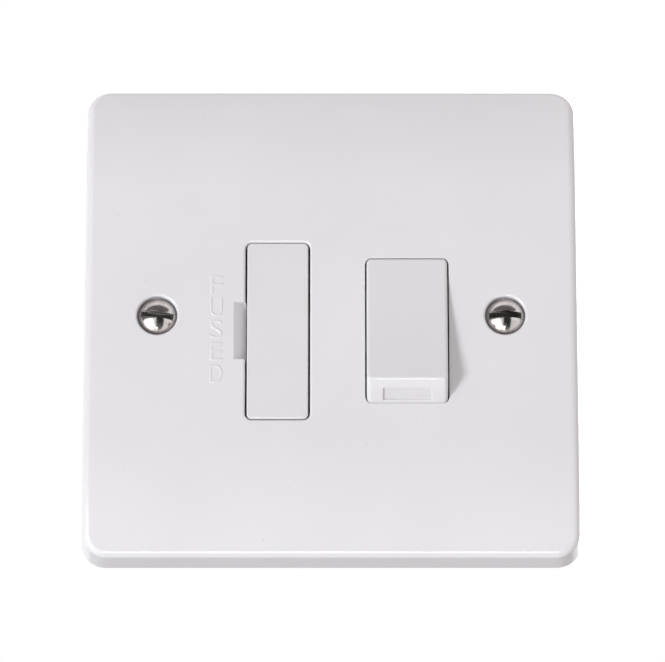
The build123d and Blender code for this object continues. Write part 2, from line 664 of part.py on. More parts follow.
with BuildPart() as terminal_screws:
    for x, side in TERMINALS.values():
        block_z = LEVEL + side * BLOCK_FROM_LEVEL
        head_rear = CLAMP_HEAD_FRONT + CLAMP_HEAD
        rod(x, block_z, CLAMP_RADIUS, CLAMP_TIP, CLAMP_HEAD_FRONT)
        rod(x, block_z, CLAMP_HEAD_RADIUS, CLAMP_HEAD_FRONT, head_rear)
        slot_floor = head_rear - SLOT_DEPTH
        bar(x, block_z, 2 * RECESS_RADIUS, SLOT_WIDTH, slot_floor, head_rear + OVER, Mode.SUBTRACT)
save(terminal_screws, "terminal_screws")

# Rear housing: a block with rooms for the fuse and the switch, channels for strips and pockets for terminals
with BuildPart() as rear_housing:
    with BuildSketch(facing(HOUSING_REAR)):
        with Locations((0, LEVEL)):
            RectangleRounded(HOUSING_WIDTH, HOUSING_HEIGHT, HOUSING_CORNER)
    extrude(amount=HOUSING_REAR - HOUSING_FRONT)
    fillet(rear_housing.faces().sort_by(Axis.Y)[-1].edges(), HOUSING_ROUND)
    mouth = HOUSING_FRONT - OVER
    # room for the switch
    bar(ROCKER_X, LEVEL, 2 * SWITCH_ROOM, SWITCH_ROOM_HEIGHT, mouth, STRIP_FLOOR, Mode.SUBTRACT)
    # well for the fuse carrier, deeper at both ends for its cheeks
    bar(CARRIER_X, LEVEL, WELL_WIDTH, WELL_HEIGHT, mouth, LINK_REAR_Y, Mode.SUBTRACT)
    for side in (-1, 1):
        run(
            CARRIER_X,
            LEVEL + side * WELL_STEP,
            LEVEL + side * WELL_HEIGHT / 2,
            WELL_WIDTH,
            mouth,
            WELL_END_FLOOR,
            Mode.SUBTRACT,
        )
    # slot for the link from the switch to the upper fuse clip
    link_right = CHAMBER_LEFT + OVER
    bar(
        (CARRIER_X + link_right) / 2,
        LINK_Z,
        link_right - CARRIER_X,
        LINK_WIDTH + 2 * LINK_PLAY,
        mouth,
        LINK_REAR_Y,
        Mode.SUBTRACT,
    )
    # channels for the strips
    channel_end = HALF_HEIGHT - CHANNEL_WALL
    for x, side in TERMINALS.values():
        outer_end = LEVEL + side * channel_end
        inner_end = LEVEL + side * WELL_STEP
        run(x, outer_end, inner_end, CHANNEL_WIDTH, mouth, STRIP_FLOOR, Mode.SUBTRACT)
    run(EARTH_X, LEVEL + channel_end, LEVEL - channel_end, CHANNEL_WIDTH, mouth, STRIP_FLOOR, Mode.SUBTRACT)
    drop_top = LEVEL - WELL_STEP + LINK_PLAY + STRIP + LINK_PLAY
    run(CARRIER_X, drop_top, LEVEL - channel_end, CHANNEL_WIDTH, mouth, STRIP_FLOOR, Mode.SUBTRACT)
    # terminal pockets, open at the edge, with narrower slots to the rear
    for x, side in TERMINALS.values():
        pocket_start = LEVEL + side * (BLOCK_START - POCKET_PLAY)
        edge = LEVEL + side * (HALF_HEIGHT + OVER)
        run(x, pocket_start, edge, BLOCK_WIDTH + 2 * POCKET_PLAY, STRIP_FLOOR, BLOCK_REAR, Mode.SUBTRACT)
        run(x, pocket_start, edge, REAR_SLOT, BLOCK_REAR, HOUSING_REAR + OVER, Mode.SUBTRACT)
    # sockets for the plate's pillars and counterbores for the assembly screws
    for x, z in PILLARS:
        rod(x, z, PILLAR_RADIUS + PILLAR_PLAY, mouth, PILLAR_END, Mode.SUBTRACT)
        rod(x, z, ASSEMBLY_HOLE, mouth, SEAT_Y + OVER, Mode.SUBTRACT)
        rod(x, z, COUNTERBORE_RADIUS, SEAT_Y, HOUSING_REAR + OVER, Mode.SUBTRACT)
    # hollows in the rear, so that no wall behind the fuse and the switch is thick
    core_floor = STRIP_FLOOR + CORE_WALL
    with BuildSketch(facing(HOUSING_REAR)):
        for x in (CARRIER_X, ROCKER_X):
            for side in (-1, 1):
                with Locations((x, LEVEL + side * (CORE_RIB + CORE_HEIGHT) / 2)):
                    RectangleRounded(CORE_WIDTH, CORE_HEIGHT, CORE_CORNER)
    extrude(amount=HOUSING_REAR - core_floor, mode=Mode.SUBTRACT)
save(rear_housing, "rear_housing")

with BuildPart() as assembly_screws:
    for x, z in PILLARS:
        rod(x, z, ASSEMBLY_RADIUS, SEAT_Y - ASSEMBLY_LENGTH, SEAT_Y)
        rod(x, z, ASSEMBLY_HEAD_RADIUS, SEAT_Y, SEAT_Y + ASSEMBLY_HEAD)
        slot_front = SEAT_Y + ASSEMBLY_HEAD - SLOT_DEPTH
        bar(x, z, 2 * RECESS_RADIUS, SLOT_WIDTH, slot_front, slot_front + 2 * SLOT_DEPTH, Mode.SUBTRACT)
save(assembly_screws, "assembly_screws")
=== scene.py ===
import json
import math
from contextlib import contextmanager
from functools import reduce

import bmesh
import bpy
from bpy.props import FloatProperty, FloatVectorProperty, IntProperty, PointerProperty
from bpy.types import Operator, Panel, PropertyGroup
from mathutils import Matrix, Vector


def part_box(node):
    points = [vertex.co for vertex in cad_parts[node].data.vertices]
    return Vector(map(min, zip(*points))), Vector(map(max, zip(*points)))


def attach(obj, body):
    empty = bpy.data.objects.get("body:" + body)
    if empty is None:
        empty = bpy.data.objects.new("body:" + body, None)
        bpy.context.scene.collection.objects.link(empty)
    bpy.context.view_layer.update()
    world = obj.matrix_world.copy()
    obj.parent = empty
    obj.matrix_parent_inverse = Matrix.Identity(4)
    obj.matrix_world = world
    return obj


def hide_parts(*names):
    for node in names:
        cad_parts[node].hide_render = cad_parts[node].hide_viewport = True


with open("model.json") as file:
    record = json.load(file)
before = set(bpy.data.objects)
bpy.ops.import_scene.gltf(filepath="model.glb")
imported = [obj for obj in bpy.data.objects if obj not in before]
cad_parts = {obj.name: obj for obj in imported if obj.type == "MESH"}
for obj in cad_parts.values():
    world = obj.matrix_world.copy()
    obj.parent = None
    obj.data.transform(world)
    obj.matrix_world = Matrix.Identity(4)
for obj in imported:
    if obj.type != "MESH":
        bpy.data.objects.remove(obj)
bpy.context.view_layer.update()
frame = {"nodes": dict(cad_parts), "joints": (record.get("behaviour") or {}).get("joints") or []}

bl_info = {
    "name": "Fused spur unit",
    "version": (1, 0, 0),
    "blender": (4, 5, 0),
    "location": "3D View > Sidebar > Spur unit",
    "description": "Dresses the CAD frame of a switched fused spur unit in a small studio",
    "category": "Object",
}

MM = 0.001

# How close points are to be one, and the angles at which faces are flat, sharp or smooth
MERGE = 0.0005 * MM
FLAT_ANGLE = math.radians(0.3)
SHARP_ANGLE = math.radians(45)
CUT_ANGLE = math.radians(40)
SMOOTH_ANGLE = math.radians(38)
QUARTER_TURN = math.radians(90)
HALF_TURN = math.radians(180)

# The plate: its face, its rim at the wall and the prise notch beside the carrier
FACE_Y = -10 * MM
FACE_PLAY = 0.003 * MM
PLATE_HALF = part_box("front_plate")[1].x
RIM_WALL = 2.2 * MM
RIM_OUTER = PLATE_HALF - 0.8 * RIM_WALL
RIM_PLAY = 0.01 * MM
NOTCH_FLOOR = FACE_Y + 1.6 * MM
NOTCH_RIGHT = -14.89 * MM
NOTCH_LEFT = NOTCH_RIGHT - 2.0 * MM
NOTCH_PLAY = 0.03 * MM
NOTCH_MIDDLE_SHARE = 0.6

# The rear housing, the terminals in it and the marks on it
REAR_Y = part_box("rear_housing")[1].y
LEVEL = (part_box("rear_housing")[0].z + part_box("rear_housing")[1].z) / 2
HOUSING_SEAT = 8.6 * MM
TERMINALS = [
    f"{side}_{line}" for side in ("supply", "load") for line in ("earth", "live", "neutral")
]
MARK_GAP = 1.6 * MM
WORDS = (("SUPPLY", "supply_live", "supply_earth"), ("LOAD", "load_neutral", "load_live"))

# The rocker and the sunk panel in its lip, by its reach from the pivot
PIVOT_Y = next(joint["pos_m"][1] for joint in frame["joints"] if joint["name"] == "rocker_turn")
ROCKER_X = (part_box("rocker")[0].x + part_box("rocker")[1].x) / 2
PANEL_HALF = 4.2 * MM
PANEL_REACH = 15.4 * MM
PANEL_TOP = 10.7 * MM
PANEL_BLUR = 0.1 * MM

# The fixing screws. The rim's rows are millimetres out from the head's radius and behind its edge
SCREW_X = 60.3 * MM / 2
HEAD_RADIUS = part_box("fixing_screws")[1].x - SCREW_X
HEAD_EDGE = FACE_Y + 0.8 * MM
HEAD_RISE = 1.4 * MM
HEAD_CROWN = HEAD_EDGE - HEAD_RISE
HEAD_DOME = (HEAD_RADIUS**2 + HEAD_RISE**2) / (2 * HEAD_RISE)
DOME_SHARES = (0.04, 0.12, 0.22, 0.34, 0.46, 0.58, 0.7, 0.81, 0.9, 0.96)
HEAD_RIM = ((-0.02, -0.01), (0, 0.05), (0, 0.2), (-0.06, 0.27))
HEAD_BAND = 0.1 * MM
HEAD_TURN = math.radians(-7)
NECK_RADIUS = 1.55 * MM
NECK_DEPTH = 1.9 * MM
SHANK_RADIUS = 1.5 * MM
SHANK_END = -0.6 * MM
SLOT_WIDTH = 1.1 * MM
SLOT_DEPTH = 1.1 * MM
SLOT_LENGTH = 7 * MM
SLOT_OVER = 0.5 * MM

# Their threads. The ridge's base, crest and sunk foot are shares of the pitch, base and depth
THREAD_RADIUS = 1.75 * MM
THREAD_START = -0.5 * MM
THREAD_RUNOUT = 0.4 * MM
POINT_LENGTH = 0.5 * MM
POINT_TAPER = 0.3 * MM
RIDGE_BASE = 0.84
RIDGE_CREST = 0.16
RIDGE_FOOT = 0.3
RIDGE_STEPS = 26
SPARE_TURNS = 0.9

# The terminal screws. The crown's rows are millimetres out from the head's radius and over its top
CLAMP_HEAD = 2.8 * MM
CLAMP_SHANK = 1.7 * MM
CLAMP_HEIGHT = 1.8 * MM
CLAMP_CROWN = ((-0.35, 0), (-0.1, -0.08), (0, -0.3))
CLAMP_BREAK = 0.12 * MM
CLAMP_SHOULDER = 0.01 * MM
CLAMP_POINT = 0.5 * MM
CLAMP_BAND = 0.3 * MM
CLAMP_TURNS = (0, 14, -8, 5, -17, 9)

# Raised letters, in shares of the text's own size
LETTER_SIDE = 0.01
LETTER_ROUNDING = 0.032
LETTER_MERGE = 0.0005
LEGEND_THIN = 0.03
MARK_THIN = 0.02

# Small grey specks in the face's white: across, up and radius, in millimetres
SPECKS = (
    (-37.15, 18.43, 0.22),
    (-22.34, 37.62, 0.2),
    (-32.14, 6.22, 0.26),
    (1.53, -4.62, 0.2),
    (15.98, -19.37, 0.24),
    (-35.56, -27.81, 0.18),
    (-11.68, -40.06, 0.24),
    (-7.06, -31.12, 0.2),
    (6.16, -23.53, 0.18),
    (-1.62, 39.08, 0.24),
    (-13.46, 20.29, 0.2),
    (-10.91, 35.15, 0.2),
)
SPECK_CORE = 0.3

# How strongly things show in the glossy white, as shares of tone, of grey or of roughness
SPECK_GREY = (0.42, 0.40, 0.39, 1)
SPECK_SHARE = 0.26
FLECK_SHARE = 0.2
FLECK_ROUGHNESS = 0.2
HAZE_ROUGHNESS = 0.06
CLOUD_DARK, CLOUD_LIGHT = 0.985, 1.01
# Painted shade in the rocker's sunk lip panel: its white is darkened by this share, and made
# rougher
PANEL_SHADE_TONE = 0.91
PANEL_ROUGHNESS = 0.25

# The same for metal, with the colours that are no property
PATCH_SHARE = 0.6
PATCH_ROUGHNESS = 0.1
STAIN_SHARE = 0.25
MARKS_ROUGHNESS = 0.06
MARKS_HEIGHT = 0.0012 * MM
# Painted shade in the depth of the fixing screws' slots: its dark grey and how much of it is
# blended in
SLOT_SHADE_GREY = (0.26, 0.24, 0.235, 1)
SLOT_SHADE_SHARE = 0.75
SILVER = (0.86, 0.85, 0.82, 1)
SILVER_DULL = (0.62, 0.58, 0.50, 1)

# The studio: camera, floor, air, and cards that only reflections see.
# A card's row has its name, direction from the unit, distance, width, height and brightness
SENSOR_WIDTH = 36.0
CLIP_NEAR, CLIP_FAR = 0.01, 20.0
FLOOR_SIDE = 14
PAPER_GREY = (0.88, 0.88, 0.88, 1)
PAPER_WHITE = (0.93, 0.93, 0.93, 1)
PAPER_FIBRE = 0.4
AIR_TINT = (1.0, 0.955, 0.945, 1)
WHITE = (1, 1, 1, 1)
CARDS = (
    ("key_card", (-0.63, -0.66, -0.45), 1.35, 1.15, 1.35, 1.8),
    ("low_card", (0, -0.695, -0.719), 0.6, 0.14, 0.09, 22.0),
    ("left_screw_flag", (-0.023, -0.038, -0.031), 0.054, 0.019, 0.021, 0.03),
    ("right_screw_flag", (0.037, -0.038, -0.031), 0.0616, 0.019, 0.021, 0.03),
    ("floor_flag", (0, -0.1, -1.0), 1.0, 0.7, 0.5, 0.3),
    ("front_flag", (0.2, -0.96, -0.14), 1.6, 1.07, 3.4, 0.03),
    ("rear_flag", (0, 0.94, -0.34), 1.5, 2.4, 0.9, 0.35),
    ("upper_flag", (0, -0.72, 0.7), 1.75, 3.4, 1.5, 0.15),
    ("left_flag", (-0.724, -0.608, 0.326), 1.6, 2.9, 1.2, 0.15),
)


def length(name, description, default):
    """A size, in metres."""
    return FloatProperty(
        name=name, description=description, default=default, unit="LENGTH", precision=5
    )


def factor(name, description, default):
    """A share from 0 to 1."""
    return FloatProperty(
        name=name, description=description, default=default, subtype="FACTOR", min=0, max=1
    )


def watts(name, description, default):
    """The power of a lamp."""
    return FloatProperty(name=name, description=description, default=default, unit="POWER")


def tint(name, description, default):
    """A colour."""
    return FloatVectorProperty(
        name=name, description=description, default=default, subtype="COLOR", min=0, max=1
    )


class SpurSizes(PropertyGroup):
    """Small sizes that the CAD frame leaves to the finished pieces."""

    face_ease: length(
        "Face edge ease", "Rounding of the sharp edges in the plate's face", 0.16 * MM
    )
    carrier_ease: length("Carrier edge ease", "Rounding of the carrier's edges", 0.16 * MM)
    rocker_ease: length("Rocker edge ease", "Rounding of the rocker's edges", 0.12 * MM)
    housing_ease: length("Housing edge ease", "Rounding of the rear housing's edges", 0.22 * MM)
    terminal_ease: length("Terminal edge ease", "Broken edges of the terminals", 0.12 * MM)
    cap_ease: length("Fuse cap edge ease", "Rounding of the fuse caps' edges", 0.3 * MM)
    assembly_ease: length(
        "Assembly screw edge ease", "Rounding of the assembly screws' edges", 0.2 * MM
    )
    slot_ease: length(
        "Slot edge ease", "Broken edges of the fixing screws' heads and slots", 0.05 * MM
    )
    clamp_ease: length(
        "Terminal screw edge ease", "Broken edges of the terminal screws' heads", 0.06 * MM
    )
    side_draft: length(
        "Side draft", "How far the plate's left and right walls lean out at the wall", 0.32 * MM
    )
    notch_rise: length(
        "Notch rise", "Rise of the prise notch's floor towards its outer end", 1.1 * MM
    )
    notch_fall: length(
        "Notch fall", "Fall of the prise notch's floor towards the carrier", 0.3 * MM
    )
    notch_reach: length(
        "Notch reach", "How far the notch's floor reaches into the carrier's gap", 0.18 * MM
    )
    legend_x: length("Legend middle", "Middle of the raised legend, across", -19.9 * MM)
    legend_top: length("Legend top", "Upper edge of the first raised letter", 7.2 * MM)
    letter_width: length("Letter width", "Width of a raised letter", 2.2 * MM)
    letter_height: length("Letter height", "Height of a raised letter", 3.4 * MM)
    letter_step: length(
        "Letter step", "Distance from one raised letter to the next one down", 4.07 * MM
    )
    letter_relief: length("Letter relief", "How far a raised letter stands out", 0.1 * MM)
    mark_relief: length(
        "Terminal mark relief", "How far the marks on the rear housing stand out", 0.32 * MM
    )
    word_height: length("Rear word height", "Height of the rear housing's two words", 2.2 * MM)
    mark_height: length(
        "Terminal mark height", "Height of the letters beside the terminals", 2.8 * MM
    )
    thread_pitch: length("Thread pitch", "Pitch of the fixing screws", 0.6 * MM)
    thread_depth: length("Thread depth", "Depth of the fixing screws' thread", 0.33 * MM)
    turned_sides: IntProperty(
        name="Turned sides", description="Sides of a turned piece", default=64, min=16, max=128
    )


class SpurFinish(PropertyGroup):
    """Colours and gloss of the finishes."""

    face_white: tint(
        "Face white", "Glossy white of the plate, carrier and rocker", (0.785, 0.772, 0.797)
    )
    face_gloss: factor("Face roughness", "Roughness of the glossy white", 0.16)
    # The carrier's and the rocker's white, darker than the plate's; on the rocker this is painted
    # shade for its tilted face
    inset_tone_and_shade: factor(
        "Inset tone", "White of the carrier and the rocker beside that of the plate", 0.965
    )
    rear_white: tint("Rear white", "Satin white of the rear housing", (0.70, 0.69, 0.665))
    nickel: tint("Nickel", "Plating of the fixing screws and fuse caps", (0.70, 0.652, 0.636))
    brass: tint("Brass", "Terminals, strips and clips", (0.76, 0.53, 0.22))
    zinc: tint("Zinc", "Plating of the assembly and terminal screws", (0.60, 0.62, 0.63))
    ceramic: tint("Ceramic", "Tube of the cartridge fuse", (0.80, 0.78, 0.73))
    nylon: tint("Nylon", "Plungers of the switch", (0.78, 0.74, 0.64))


class SpurStudio(PropertyGroup):
    """Camera and lights."""

    lens: FloatProperty(
        name="Lens",
        description="Focal length in millimetres for a sensor 36 mm wide",
        default=312.1,
        min=1,
    )
    distance: FloatProperty(
        name="Camera distance",
        description="From the camera to the middle of the picture",
        default=1.003,
        unit="LENGTH",
    )
    elevation: FloatProperty(
        name="Camera elevation",
        description="Angle of the camera above the unit's own level, negative from below",
        default=math.radians(-19.2),
        unit="ROTATION",
    )
    aim: FloatVectorProperty(
        name="Aim",
        description="Point in the middle of the picture",
        default=(0.00023, -0.005, -0.00123),
        subtype="TRANSLATION",
        precision=5,
    )
    key_power: watts("Key power", "Softbox in front, left and below", 24.3)
    fill_power: watts("Fill power", "Softbox on the right", 2.0)
    rear_power: watts("Rear power", "Softbox behind the unit", 7.0)
    air_level: FloatProperty(
        name="Air level", description="Even light from all round", default=0.56, min=0, max=2
    )
    floor_drop: FloatProperty(
        name="Floor drop",
        description="Height of the unit above the studio floor",
        default=1.4,
        unit="LENGTH",
    )


class Value:
    """A node socket that takes part in sums and adds the Math nodes they need."""

    def __init__(self, recipe, socket):
        self.recipe = recipe
        self.socket = socket

    def maths(self, operation, first, second=0.0):
        return self.recipe.node("ShaderNodeMath", {"operation": operation}, {0: first, 1: second})

    def __add__(self, other):
        return self.maths("ADD", self, other)

    __radd__ = __add__

    def __sub__(self, other):
        return self.maths("SUBTRACT", self, other)

    def __rsub__(self, other):
        return self.maths("SUBTRACT", other, self)

    def __mul__(self, other):
        return self.maths("MULTIPLY", self, other)

    __rmul__ = __mul__

    def __truediv__(self, other):
        return self.maths("DIVIDE", self, other)

    def __rtruediv__(self, other):
        return self.maths("DIVIDE", other, self)

    def __or__(self, other):
        return self.maths("MAXIMUM", self, other)

    __ror__ = __or__

    def __abs__(self):
        return self.maths("ABSOLUTE", self)

    def wave(self):
        return self.maths("SINE", self)

    def output(self, name):
        return Value(self.recipe, self.socket.node.outputs[name])


class Recipe:
    """The nodes of one material or world."""

    def __init__(self, owner):
        owner.use_nodes = True
        self.tree = owner.node_tree
        self.tree.nodes.clear()

    def node(self, kind, settings, sockets, output=0):
        """Adds a node: its settings first, then the values or links of its sockets."""
        made = self.tree.nodes.new(kind)
        for name, value in settings.items():
            setattr(made, name, value)
        for key, value in sockets.items():
            if isinstance(value, Value):
                self.tree.links.new(value.socket, made.inputs[key])
            else:
                made.inputs[key].default_value = value
        return Value(self, made.outputs[output] if len(made.outputs) else None)

    def place(self, stretch=None):
        """Object coordinates, as they are or stretched."""
        spot = self.node("ShaderNodeTexCoord", {}, {}, "Object")
        if stretch is None:
            return spot
        return self.node("ShaderNodeMapping", {}, {"Vector": spot, "Scale": stretch})

    def split(self, spot):
        return self.node("ShaderNodeSeparateXYZ", {}, {"Vector": spot})

    def vector(self, **axes):
        return self.node("ShaderNodeCombineXYZ", {}, axes)

    def measure(self, operation, *vectors):
        """A number from vectors: the length of one or the distance between two."""
        sockets = dict(enumerate(vectors))
        return self.node("ShaderNodeVectorMath", {"operation": operation}, sockets, "Value")

    def noise(self, spot, size, detail=2.0):
        sockets = {"Vector": spot, "Scale": 1 / size, "Detail": detail, "Roughness": 0.55}
        return self.node("ShaderNodeTexNoise", {}, sockets, "Fac")

    def cells(self, spot, scale):
        return self.node("ShaderNodeTexVoronoi", {}, {"Vector": spot, "Scale": scale}, "Distance")

    def step(self, value, low, high):
        """0 up to low and 1 from high on, with a smooth slope between."""
        settings = {"interpolation_type": "SMOOTHSTEP"}
        sockets = {"Value": value, "From Min": low, "From Max": high}
        return self.node("ShaderNodeMapRange", settings, sockets)

    def blend(self, share, first, second):
        sockets = {0: share, 6: first, 7: second}
        return self.node("ShaderNodeMix", {"data_type": "RGBA"}, sockets, 2)

    def relief(self, height, distance):
        sockets = {"Strength": 1.0, "Distance": distance, "Height": height}
        return self.node("ShaderNodeBump", {}, sockets)

    def seen(self):
        """1 for the rays that show the surroundings: the camera's, gloss's and glass's."""
        ray = self.node("ShaderNodeLightPath", {}, {}, "Is Camera Ray")
        return ray | ray.output("Is Glossy Ray") | ray.output("Is Transmission Ray")

    def surface(self, **sockets):
        """The shader and the material's output; a socket's name has _ for each space."""
        named = {name.replace("_", " ").title(): value for name, value in sockets.items()}
        if "Ior" in named:
            named["IOR"] = named.pop("Ior")
        self.shown(self.node("ShaderNodeBsdfPrincipled", {}, named))

    def shown(self, shader):
        self.node("ShaderNodeOutputMaterial", {}, {"Surface": shader})


def shade(colour, *amounts):
    """A colour made darker or lighter by one share, or by one for each channel, with its alpha."""
    shares = amounts if len(amounts) > 1 else amounts * 3
    return tuple(min(1.0, channel * share) for channel, share in zip(colour, shares)) + (1.0,)


def finish(name):
    """A material by name, made the first time it is asked for."""
    known = bpy.data.materials.get(name)
    if known:
        return known
    material = bpy.data.materials.new(name)
    FINISHES[name](Recipe(material), bpy.context.scene.spur_finish)
    return material


def moulded_white(recipe, look, tone, sunk=None):
    """Glossy white with faint clouds and a few grey specks. A tone below 1 darkens it, which on
    the rocker is painted shade; a sunk panel gets painted shade and more roughness.
    """
    spot = recipe.place()
    cloud = recipe.noise(spot, size=22 * MM, detail=3.0)
    haze = recipe.noise(spot, size=6 * MM, detail=4.0)
    ripple = recipe.noise(spot, size=2.6 * MM, detail=1.0)
    fleck = 1 - recipe.step(recipe.cells(spot, scale=240.0), low=0.012, high=0.034)
    axes = recipe.split(spot)
    flat = recipe.vector(X=axes, Z=axes.output("Z"))
    specks = []
    for across, up, radius in SPECKS:
        away = recipe.measure("DISTANCE", flat, (across * MM, 0, up * MM))
        specks.append(1 - recipe.step(away, low=SPECK_CORE * radius * MM, high=radius * MM))
    dark = shade(look.face_white, CLOUD_DARK * tone)
    light = shade(look.face_white, CLOUD_LIGHT * tone)
    white = recipe.blend(recipe.step(cloud, low=0.3, high=0.7), dark, light)
    rough = look.face_gloss + haze * HAZE_ROUGHNESS + fleck * FLECK_ROUGHNESS
    # Painted shade: a sunk panel's white is darkened, and made rougher
    if sunk:
        panel = sunk(recipe, axes)
        white = recipe.blend(panel, white, shade(look.face_white, PANEL_SHADE_TONE * tone))
        rough = rough + panel * PANEL_ROUGHNESS
    dirt = (reduce(Value.__or__, specks) * SPECK_SHARE) | (fleck * FLECK_SHARE)
    recipe.surface(
        base_color=recipe.blend(dirt, white, SPECK_GREY),
        roughness=rough,
        ior=1.54,
        normal=recipe.relief(ripple, distance=0.004 * MM),
    )


def lip_panel(recipe, axes):
    """1 in the sunk panel of the rocker's lip, which lies nearer the pivot than the lip does;
    there the white gets painted shade and more roughness.
    """
    depth, up = axes.output("Y") - PIVOT_Y, axes.output("Z") - LEVEL
    reach = recipe.measure("LENGTH", recipe.vector(Y=depth, Z=up))
    half_blur = PANEL_BLUR / 2
    outside = recipe.step(abs(axes - ROCKER_X), PANEL_HALF - half_blur, PANEL_HALF + half_blur)
    proud = recipe.step(reach, PANEL_REACH - PANEL_BLUR, PANEL_REACH + PANEL_BLUR)
    below = recipe.step(0 - up, PANEL_TOP - PANEL_BLUR, PANEL_TOP + PANEL_BLUR)
    return (1 - outside) * (1 - proud) * below


def glazed_white(recipe, look):
    """The plate and its legend."""
    moulded_white(recipe, look, 1.0)


def carrier_white(recipe, look):
    """The fuse carrier."""
    moulded_white(recipe, look, look.inset_tone_and_shade)


def rocker_white(recipe, look):
    """The rocker, in a darker white that is painted shade, with more painted shade and more
    roughness in the sunk panel of its lip.
    """
    moulded_white(recipe, look, look.inset_tone_and_shade, lip_panel)


def satin_white(recipe, look):
    """The rear housing and its marks, with faint streaks of the moulding's flow."""
    spot = recipe.place()
    cloud = recipe.noise(spot, size=14 * MM, detail=4.0)
    flow = recipe.noise(recipe.place(stretch=(1, 1, 0.12)), size=2.2 * MM, detail=3.0)
    spark = recipe.noise(spot, size=0.28 * MM, detail=3.0)
    tone = recipe.blend(cloud, shade(look.rear_white, 0.95), shade(look.rear_white, 1.03))
    streak = recipe.step(flow, low=0.62, high=0.8) * 0.25
    recipe.surface(
        base_color=recipe.blend(streak, tone, shade(look.rear_white, 0.88)),
        roughness=0.4 + spark * 0.16,
        ior=1.5,
        normal=recipe.relief(spark, distance=0.006 * MM),
    )


def plated(recipe, bright, dull, rough, marks, slot=None):
    """Metal with dull patches, faint stains and the marks of drawing or turning, and painted shade
    in the depth of a slot where a slot mask is given.
    """
    spot = recipe.place()
    patch = recipe.step(recipe.noise(spot, size=1.9 * MM, detail=4.0), low=0.42, high=0.72)
    stain = recipe.noise(spot, size=0.5 * MM, detail=3.0)
    wear_and_slot_shade = recipe.blend(patch * PATCH_SHARE + stain * STAIN_SHARE, bright, dull)
    # Painted shade: the depth of a slot is blended towards a dark grey
    if slot is not None:
        wear_and_slot_shade = recipe.blend(slot * SLOT_SHADE_SHARE, wear_and_slot_shade, SLOT_SHADE_GREY)
    recipe.surface(
        base_color=wear_and_slot_shade,
        metallic=1.0,
        roughness=rough + patch * PATCH_ROUGHNESS + marks * MARKS_ROUGHNESS,
        normal=recipe.relief(marks, distance=MARKS_HEIGHT),
    )


def drawn_marks(recipe, grain, stretch=None):
    """Fine grain, stretched where the metal was drawn."""
    return recipe.noise(recipe.place(stretch), size=grain)


def head_rings_and_slot_shade(recipe, grain):
    """Turned rings round the fixing screws' heads, and a mask that is 1 in the depth of their
    slots, where painted shade darkens them.
    """
    axes = recipe.split(recipe.place())
    across = abs(axes.output("X")) - SCREW_X
    away = recipe.measure("LENGTH", recipe.vector(X=across, Z=axes.output("Z")))
    rings = (away * (2 * math.pi / grain)).wave() * 0.5 + 0.5
    sunk = axes.output("Y") - HEAD_CROWN - away * away / (2 * HEAD_DOME)
    beyond = recipe.step(away, low=HEAD_RADIUS - 0.1 * MM, high=HEAD_RADIUS)
    return rings, recipe.step(sunk, low=0.15 * MM, high=0.7 * MM) * (1 - beyond)


def bright_nickel(recipe, look):
    """The fixing screws, with painted shade in the depth of their slots."""
    rings, slot = head_rings_and_slot_shade(recipe, 0.16 * MM)
    plated(recipe, shade(look.nickel, 1.0), shade(look.nickel, 0.72), 0.1, rings, slot)


def plain_brass(recipe, look):
    """The terminals, strips, clips and moving contacts."""
    marks = drawn_marks(recipe, 0.3 * MM, stretch=(1, 1, 0.06))
    plated(recipe, shade(look.brass, 1.0), shade(look.brass, 0.78, 0.68, 0.6), 0.24, marks)


def zinc_plate(recipe, look):
    """The assembly and terminal screws."""
    marks = drawn_marks(recipe, 0.25 * MM)
    plated(recipe, shade(look.zinc, 1.0), shade(look.zinc, 0.82, 0.8, 0.66), 0.3, marks)


def spring_steel(recipe, look):
    """The springs of the plungers."""
    marks = drawn_marks(recipe, 0.2 * MM)
    plated(recipe, shade(look.zinc, 0.7), shade(look.zinc, 0.45), 0.28, marks)


def plated_cap(recipe, look):
    """The caps of the fuse."""
    marks = drawn_marks(recipe, 0.25 * MM, stretch=(1, 1, 0.05))
    plated(recipe, shade(look.nickel, 1.12), shade(look.nickel, 0.8), 0.16, marks)


def contact_silver(recipe, look):
    """The contact tips."""
    plated(recipe, SILVER, SILVER_DULL, 0.22, drawn_marks(recipe, 0.2 * MM))


def fired_ceramic(recipe, look):
    """The tube of the fuse, with fine pits."""
    spot = recipe.place()
    cloud = recipe.noise(spot, size=3 * MM, detail=4.0)
    pit = 1 - recipe.step(recipe.cells(spot, scale=1400.0), low=0.05, high=0.2)
    tone = recipe.blend(cloud, shade(look.ceramic, 0.93), shade(look.ceramic, 1.05))
    recipe.surface(
        base_color=recipe.blend(pit * 0.35, tone, shade(look.ceramic, 0.6)),
        roughness=0.42 + cloud * 0.12,
        normal=recipe.relief(1 - pit, distance=0.01 * MM),
    )


def natural_nylon(recipe, look):
    """The plungers."""
    spot = recipe.place()
    cloud = recipe.noise(spot, size=1.5 * MM, detail=3.0)
    recipe.surface(
        base_color=recipe.blend(cloud, shade(look.nylon, 0.92), shade(look.nylon, 1.06)),
        roughness=0.36 + cloud * 0.1,
        normal=recipe.relief(recipe.noise(spot, size=0.2 * MM), distance=0.003 * MM),
    )


FINISHES = {
    "glazed_white": glazed_white,
    "carrier_white": carrier_white,
    "rocker_white": rocker_white,
    "satin_white": satin_white,
    "bright_nickel": bright_nickel,
    "plain_brass": plain_brass,
    "zinc_plate": zinc_plate,
    "spring_steel": spring_steel,
    "plated_cap": plated_cap,
    "contact_silver": contact_silver,
    "fired_ceramic": fired_ceramic,
    "natural_nylon": natural_nylon,
}


def select_only(*pieces):
    """Selects these pieces and nothing else."""
    bpy.ops.object.select_all(action="DESELECT")
    for piece in pieces:
        piece.select_set(True)
    bpy.context.view_layer.objects.active = pieces[0]


